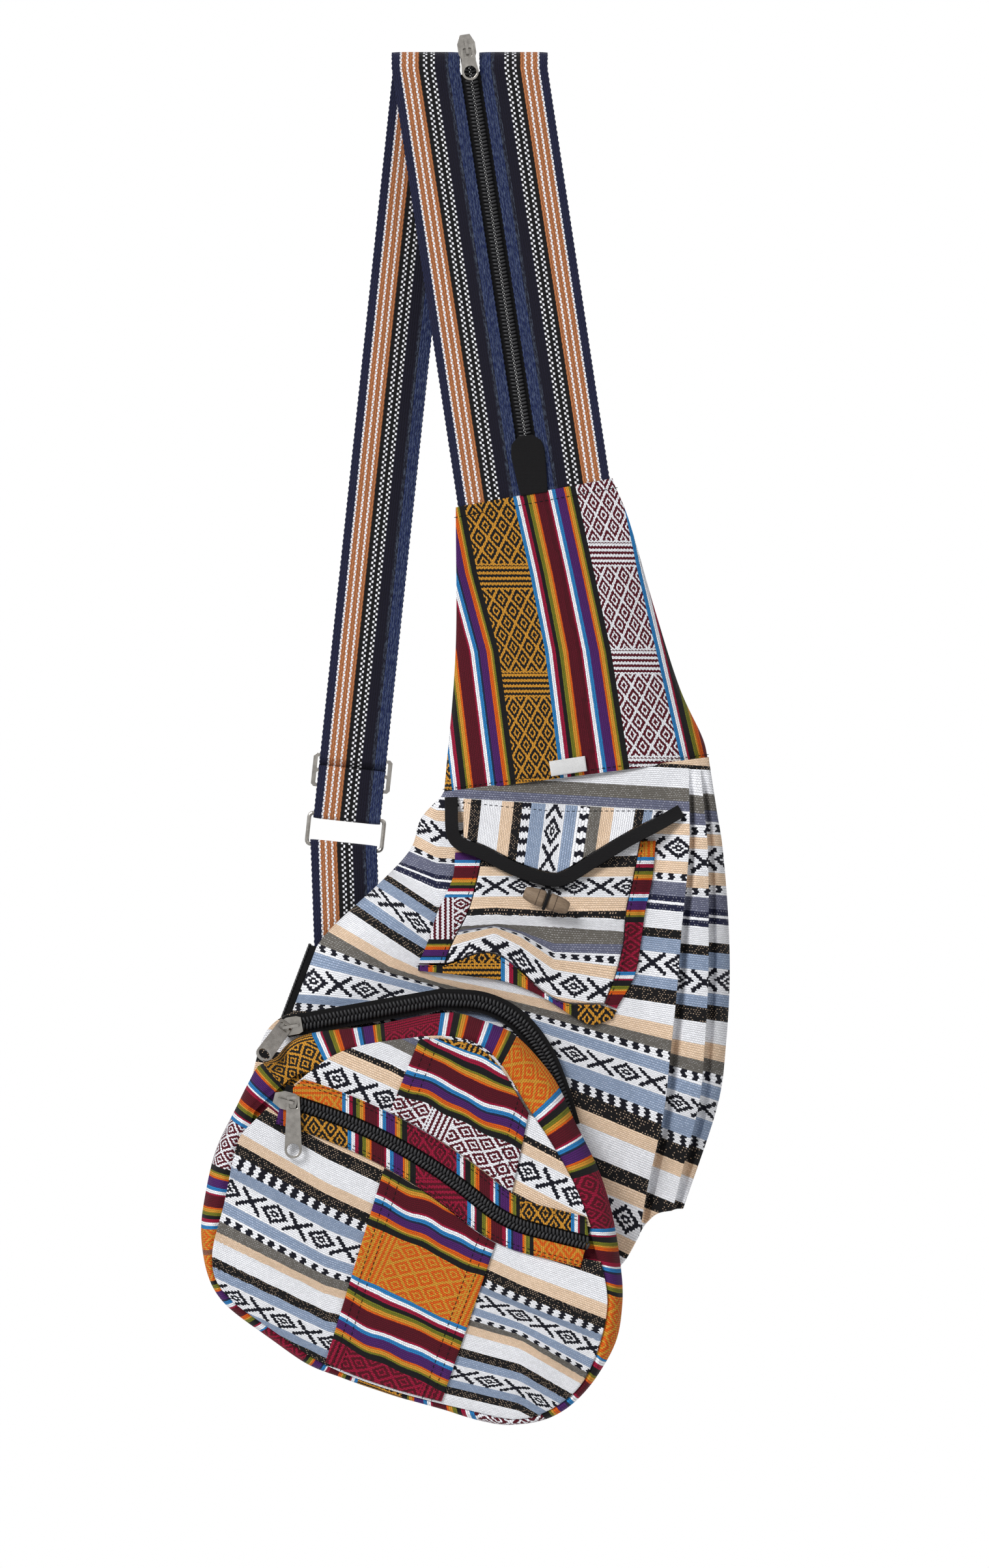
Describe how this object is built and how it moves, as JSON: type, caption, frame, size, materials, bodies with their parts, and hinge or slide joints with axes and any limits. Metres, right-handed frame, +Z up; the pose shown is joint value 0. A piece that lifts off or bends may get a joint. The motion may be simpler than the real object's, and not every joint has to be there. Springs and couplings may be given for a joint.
{
  "type": "backpack",
  "caption": "Small sling backpack of handwoven striped cotton with a pleated body, a round front pocket, a flap pocket with a wooden toggle and a wide strap joined by a zip.",
  "frame": {"origin": "underside of the strap's fold, in the middle of its width, where it hangs on a hook, rail or hanger", "axes": "+X to the right as seen from the front, +Y to the back (the side worn against the body), +Z up"},
  "size_m": [0.2939, 0.0864, 0.771],
  "materials": {
    "webbing": "handwoven cotton webbing with striped warp",
    "multicolour": "handwoven cotton with multicolour stripes and diamond bands",
    "jacquard": "handwoven cotton with grey, white and black pattern bands",
    "lining": "plain black cotton",
    "zip": "black nylon coil zip",
    "binding": "black cotton tape",
    "nickel": "nickel-plated metal",
    "wood": "grey-brown wood, dull",
    "tag": "white woven tape, blank"
  },
  "bodies": {
    "bag": {"arch_zip_inner": "zip", "arch_zip_outer": "zip", "body_back": "lining", "body_front": "jacquard", "centre_strip_lower": "multicolour", "centre_strip_upper": "multicolour", "face_lower": "jacquard", "face_upper": "jacquard", "face_zip_lower": "zip", "face_zip_upper": "zip", "flap": "jacquard", "flap_binding": "binding", "flap_loop": "binding", "lower_strap_left": "webbing", "lower_strap_right": "webbing", "pocket_back": "jacquard", "pocket_gusset": "multicolour", "ring_left": "nickel", "ring_right": "nickel", "side_zip_back": "zip", "side_zip_front": "zip", "strap_band_left": "webbing", "strap_band_right": "webbing", "strap_zip_end": "binding", "strap_zip_left": "zip", "strap_zip_right": "zip", "tag": "tag", "toggle_pocket_bottom": "multicolour", "toggle_pocket_face": "jacquard", "toggle_pocket_side_left": "multicolour", "toggle_pocket_side_right": "multicolour", "triglide_left": "nickel", "triglide_right": "nickel", "welt_lower": "multicolour", "welt_upper": "multicolour", "yoke_back": "lining", "yoke_front": "multicolour"},
    "strap_slider": {"strap_slider": "nickel"},
    "strap_puller": {"strap_puller": "nickel"},
    "face_slider": {"face_slider": "nickel"},
    "face_puller": {"face_puller": "nickel"},
    "arch_slider": {"arch_slider": "nickel"},
    "arch_puller": {"arch_puller": "nickel"},
    "side_slider": {"side_slider": "nickel"},
    "side_puller": {"side_puller": "nickel"},
    "toggle": {"toggle": "wood", "toggle_cord": "binding"}
  },
  "joints": [
    {"name": "strap_slide", "type": "slide", "parent": "bag", "child": "strap_slider", "axis": [0.1495, 0, -0.9888], "range_m": [0, 0.212]},
    {"name": "strap_pull", "type": "hinge", "parent": "strap_slider", "child": "strap_puller", "pos_m": [-0.00172, -0.0138, 0.00237], "axis": [-0.9888, 0, -0.1495], "range_deg": [0, 150]},
    {"name": "face_slide", "type": "hinge", "parent": "bag", "child": "face_slider", "pos_m": [-0.17674, -0.0573, -0.85871], "axis": [0, 1, 0], "range_deg": [0, 23]},
    {"name": "face_pull", "type": "hinge", "parent": "face_slider", "child": "face_puller", "pos_m": [-0.09618, -0.0632, -0.58317], "axis": [0, 1, 0], "range_deg": [-70, 55]},
    {"name": "arch_slide", "type": "slide", "parent": "bag", "child": "arch_slider", "axis": [0.9848, 0, 0.1735], "range_m": [0, 0.076]},
    {"name": "arch_pull", "type": "hinge", "parent": "arch_slider", "child": "arch_puller", "pos_m": [-0.10242, -0.04055, -0.54331], "axis": [0, 1, 0], "range_deg": [0, 90]},
    {"name": "side_slide", "type": "slide", "parent": "bag", "child": "side_slider", "axis": [0.3537, 0, 0.9354], "range_m": [0, 0.112]},
    {"name": "side_pull", "type": "hinge", "parent": "side_slider", "child": "side_puller", "pos_m": [-0.13608, 0.0022, -0.61053], "axis": [0, 1, 0], "range_deg": [0, 150]},
    {"name": "toggle_turn", "type": "hinge", "parent": "bag", "child": "toggle", "pos_m": [0.04254, -0.04283, -0.47289], "axis": [0, 1, 0], "range_deg": [-45, 45]}
  ]
}
